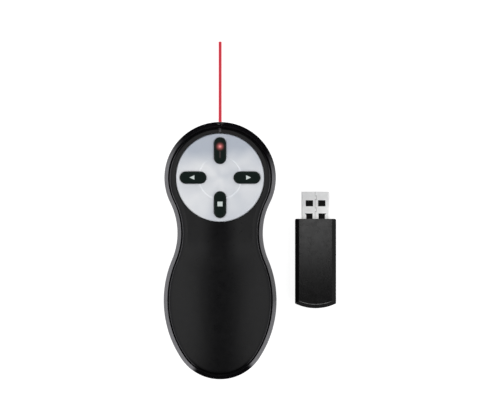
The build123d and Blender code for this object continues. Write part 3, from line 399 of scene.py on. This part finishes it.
for row in frame["record"]["subparts"]:
    shown = frame["nodes"][row["node"]]
    shown.data.materials.clear()
    shown.data.materials.append(finishes[row["material_slot"]])
    if row["node"] in RECEIVER_NODES:
        shown.visible_glossy = False    # so the clicker's gloss band mirrors only the floor


# ---------------------------------------------------------------- printed marks on the keys

def rounded(corners, radius, steps=6):
    """The polygon's outline, anticlockwise, with each corner rounded."""
    points = []
    count = len(corners)
    for i in range(count):
        here = Vector(corners[i])
        before = (Vector(corners[i - 1]) - here).normalized()
        after = (Vector(corners[(i + 1) % count]) - here).normalized()
        half = before.angle(after) / 2
        centre = here + (before + after).normalized() * radius / math.sin(half)
        start = here + before * radius / math.tan(half) - centre
        end = here + after * radius / math.tan(half) - centre
        turn = math.atan2(start.x * end.y - start.y * end.x, start.dot(end))
        for step in range(steps + 1):
            angle = turn * step / steps
            points.append((centre.x + start.x * math.cos(angle) - start.y * math.sin(angle),
                           centre.y + start.x * math.sin(angle) + start.y * math.cos(angle)))
    return points


def on_key(key, shift):
    """The point of the key's top that lies shift, in mm, from its centre."""
    centre = middle("button_" + key)
    return Vector((centre.x + shift[0] * MM, centre.y + shift[1] * MM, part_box("button_" + key)[1].z))


def mark(name, key, shift, points, thickness, material):
    """A thin raised print on the key, with that outline in mm."""
    foot = on_key(key, shift)
    mesh = bpy.data.meshes.new(name)
    shape = bmesh.new()
    base = [shape.verts.new((foot.x + x * MM, foot.y + y * MM, foot.z)) for x, y in points]
    face = shape.faces.new(base)
    top = bmesh.ops.extrude_face_region(shape, geom=[face])
    moved = [part for part in top["geom"] if isinstance(part, bmesh.types.BMVert)]
    bmesh.ops.translate(shape, verts=moved, vec=(0.0, 0.0, thickness))
    bmesh.ops.recalc_face_normals(shape, faces=shape.faces)
    shape.to_mesh(mesh)
    shape.free()
    piece = bpy.data.objects.new(name, mesh)
    bpy.context.scene.collection.objects.link(piece)
    mesh.materials.append(material)
    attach(piece, key + "_key")


PRINT = 0.02 * MM               # thickness of the ink
PRINT_CORNER = 0.1              # in mm, like the outlines
ICONS = {                       # outline, and its place from the key's centre
    "previous": ([(1.05, -0.98), (1.05, 0.98), (-1.1, 0.0)], (-0.5, 0.05)),
    "next": ([(-1.05, 0.98), (-1.05, -0.98), (1.1, 0.0)], (0.7, 0.05)),
    "stop": ([(-1.1, -1.0), (1.1, -1.0), (1.1, 1.0), (-1.1, 1.0)], (0.0, 0.25)),
}
white_ink = printed("mark_ink", (0.54, 0.6, 0.58))
for key, (corners, shift) in ICONS.items():
    mark("mark_" + key, key, shift, rounded(corners, PRINT_CORNER), PRINT, white_ink)

LIGHT_SHIFT = (0.0, 1.8)        # place of the red light on its key
LIGHT_RADIUS = 2.1
LIGHT_REACH = 2.35 * MM
LIGHT_POINTS = 48
RAY = [(-0.26, -4.9), (0.26, -4.9), (0.26, 0.0), (-0.26, 0.0)]
red_ink = printed("mark_ray_ink", (0.025, 0.012, 0.013))
mark("mark_laser_ray", "laser", LIGHT_SHIFT, rounded(RAY, PRINT_CORNER), PRINT, red_ink)
turns = [2 * math.pi * i / LIGHT_POINTS for i in range(LIGHT_POINTS)]
circle = [(LIGHT_RADIUS * math.cos(turn), LIGHT_RADIUS * math.sin(turn)) for turn in turns]
light_thickness = 1.5 * PRINT
light_centre = on_key("laser", LIGHT_SHIFT) + Vector((0.0, 0.0, light_thickness))
mark("mark_laser_light", "laser", LIGHT_SHIFT, circle, light_thickness,
     laser_glow(tuple(light_centre), LIGHT_REACH))


# ---------------------------------------------------------------- studio

def laser_beam():
    """The red ray in front of the clicker: light, not a piece of the object."""
    length = 34.4 * MM
    window = middle("laser_window")
    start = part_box("side_band")[1].y
    bpy.ops.mesh.primitive_cylinder_add(vertices=24, radius=0.68 * MM, depth=length,
                                        location=(window.x, start + length / 2, window.z),
                                        rotation=(math.pi / 2, 0.0, 0.0))
    beam = bpy.context.object
    beam.name = "laser_beam"
    n = Nodes("laser_beam")
    light = n.add("ShaderNodeEmission")
    around = n.add("ShaderNodeLayerWeight").outputs["Facing"]
    n.join(n.blend(around, (0.57, 0.035, 0.055), (1.0, 0.24, 0.28)), light.inputs["Color"])
    n.join(light.outputs[0], n.out.inputs["Surface"])
    beam.data.materials.append(n.material)
    beam.visible_shadow = False
    beam.visible_diffuse = False
    beam.visible_glossy = False


# Two dark wedges on the floor, which open away from the clicker. Only reflections see them.
FRONT_CARD = dict(way=1.0, start=28.6 * MM, slope=0.46, soft=12.0 * MM, shift=12.0 * MM,
                  clear_y=HEAD.y, clear_radius=25.0 * MM)
TAIL_CARD = dict(way=-1.0, start=36.8 * MM, slope=1.12, soft=3.0 * MM, shift=2.4 * MM,
                 clear_y=-33.0 * MM, clear_radius=23.0 * MM)


def card(n, x, y, way, start, slope, soft, shift, clear_y, clear_radius):
    """1 inside the wedge, except in a circle under the clicker, which stays pale."""
    ahead = n.number("SUBTRACT", n.number("MULTIPLY", y, way), start)
    across = n.number("ABSOLUTE", n.number("SUBTRACT", x, shift))
    depth = n.number("SUBTRACT", ahead, n.number("MULTIPLY", across, slope))
    reach = n.vector("DISTANCE", n.place, (0.0, clear_y, 0.0))
    outside = n.smooth(reach, clear_radius - 1.0 * MM, clear_radius + 1.0 * MM)
    return n.number("MULTIPLY", n.smooth(depth, -soft, soft), outside)


def floor():
    """White paper with a soft shadow, not there from below. Reflections see the cards on it."""
    bpy.ops.mesh.primitive_plane_add(size=8.0, location=(0.0, 0.0, -0.02 * MM))
    plane = bpy.context.object
    plane.name = "floor"
    n = Nodes("floor")
    path = n.add("ShaderNodeLightPath").outputs
    glossy = path["Is Glossy Ray"]
    x, y, _ = n.parts(n.place)
    cards = n.number("MAXIMUM", card(n, x, y, **FRONT_CARD), card(n, x, y, **TAIL_CARD))
    dark = n.number("MULTIPLY", cards, glossy)
    paper = n.blend(n.spread(n.noise(30.0), 0.0, 1.0), grey(0.35), grey(0.37))
    bright = n.blend(glossy, paper, (0.48, 0.47, 0.52))
    diffuse = n.add("ShaderNodeBsdfDiffuse")
    n.join(n.blend(dark, bright, grey(0.005)), diffuse.inputs["Color"])
    seen = n.number("MAXIMUM", path["Is Camera Ray"], path["Is Transmission Ray"])
    mirrored = n.number("SUBTRACT", glossy, dark)
    lift = n.add("ShaderNodeEmission")
    lift.inputs["Color"].default_value = (1.0, 1.0, 1.0, 1.0)
    n.join(n.number("ADD", n.number("MULTIPLY", seen, 0.88), n.number("MULTIPLY", mirrored, 0.4)),
           lift.inputs["Strength"])
    both = n.add("ShaderNodeAddShader")
    n.join(diffuse.outputs[0], both.inputs[0])
    n.join(lift.outputs[0], both.inputs[1])
    side = n.add("ShaderNodeMixShader")
    n.join(n.add("ShaderNodeNewGeometry").outputs["Backfacing"], side.inputs[0])
    n.join(both.outputs[0], side.inputs[1])
    n.join(n.add("ShaderNodeBsdfTransparent").outputs[0], side.inputs[2])
    n.join(side.outputs[0], n.out.inputs["Surface"])
    plane.data.materials.append(n.material)


def studio():
    """Pale surroundings, with a dim strip overhead that runs along the clicker."""
    world = bpy.data.worlds.new("studio")
    bpy.context.scene.world = world
    world.use_nodes = True
    n = Nodes("studio", world.node_tree)
    x, y, z = n.parts(n.add("ShaderNodeTexCoord").outputs["Generated"])
    beside = n.smooth(n.number("ABSOLUTE", x), 0.08, 0.38)
    beside = n.number("MULTIPLY", beside, n.spread(z, 0.15, 1.0, 0.1, 0.9))
    ahead = n.number("MULTIPLY", n.smooth(y, 0.2, 0.5), 1.2)
    upper = n.number("ADD", n.number("MULTIPLY", n.number("MAXIMUM", beside, ahead), 0.95), 0.05)
    lower = 0.6
    above = n.smooth(z, -0.05, 0.05)
    strength = n.number("ADD", n.number("MULTIPLY", above, n.number("SUBTRACT", upper, lower)), lower)
    path = n.add("ShaderNodeLightPath").outputs
    white = n.number("MAXIMUM", path["Is Camera Ray"], path["Is Transmission Ray"])
    rest = n.number("MULTIPLY", n.number("SUBTRACT", 1.0, white), strength)
    background = n.add("ShaderNodeBackground")
    background.inputs["Color"].default_value = (1.0, 1.0, 1.0, 1.0)
    n.join(n.number("ADD", white, rest), background.inputs["Strength"])
    n.join(background.outputs[0], n.out.inputs["Surface"])


def lamp(name, place, size, power, target):
    data = bpy.data.lights.new(name, "AREA")
    data.shape = "RECTANGLE"
    data.size, data.size_y = size
    data.energy = power
    light = bpy.data.objects.new(name, data)
    bpy.context.scene.collection.objects.link(light)
    light.location = place
    light.rotation_euler = (Vector(target) - Vector(place)).to_track_quat("-Z", "Y").to_euler()
    return light


def soft_lights():
    """A large soft lamp on each side."""
    size = (1.1, 1.1)
    target = (0.0, 0.0, 12.0 * MM)
    lamp("left_soft", (-0.6, -0.1, 0.45), size, 3.3, target)
    lamp("right_soft", (0.64, -0.1, 0.45), size, 2.8, target)


def receiver_light():
    """A small soft lamp over the receiver's front end, that lights nothing else."""
    x, y = RECEIVER.x, RECEIVER.y + 22.5 * MM
    over = lamp("receiver_over", (x, y, 0.14), (0.03, 0.038), 0.035, (x, y, 0.0))
    lit = bpy.data.collections.new("receiver_shells")
    for name in ("receiver_shell_top", "receiver_shell_bottom"):
        lit.objects.link(frame["nodes"][name])
    over.light_linking.receiver_collection = lit
    over.visible_camera = False


def camera():
    """A long lens, square above."""
    data = bpy.data.cameras.new("camera")
    data.sensor_width = 36.0
    data.lens = 600.0
    distance = PICTURE_WIDTH * data.lens / data.sensor_width
    data.clip_start = 0.1
    data.clip_end = 20.0
    eye = bpy.data.objects.new("camera", data)
    bpy.context.scene.collection.objects.link(eye)
    eye.location = (*PICTURE_CENTRE, PICTURE_LEVEL + distance)
    bpy.context.scene.camera = eye


laser_beam()
floor()
studio()
soft_lights()
receiver_light()
camera()
bpy.context.scene.view_settings.view_transform = "Standard"
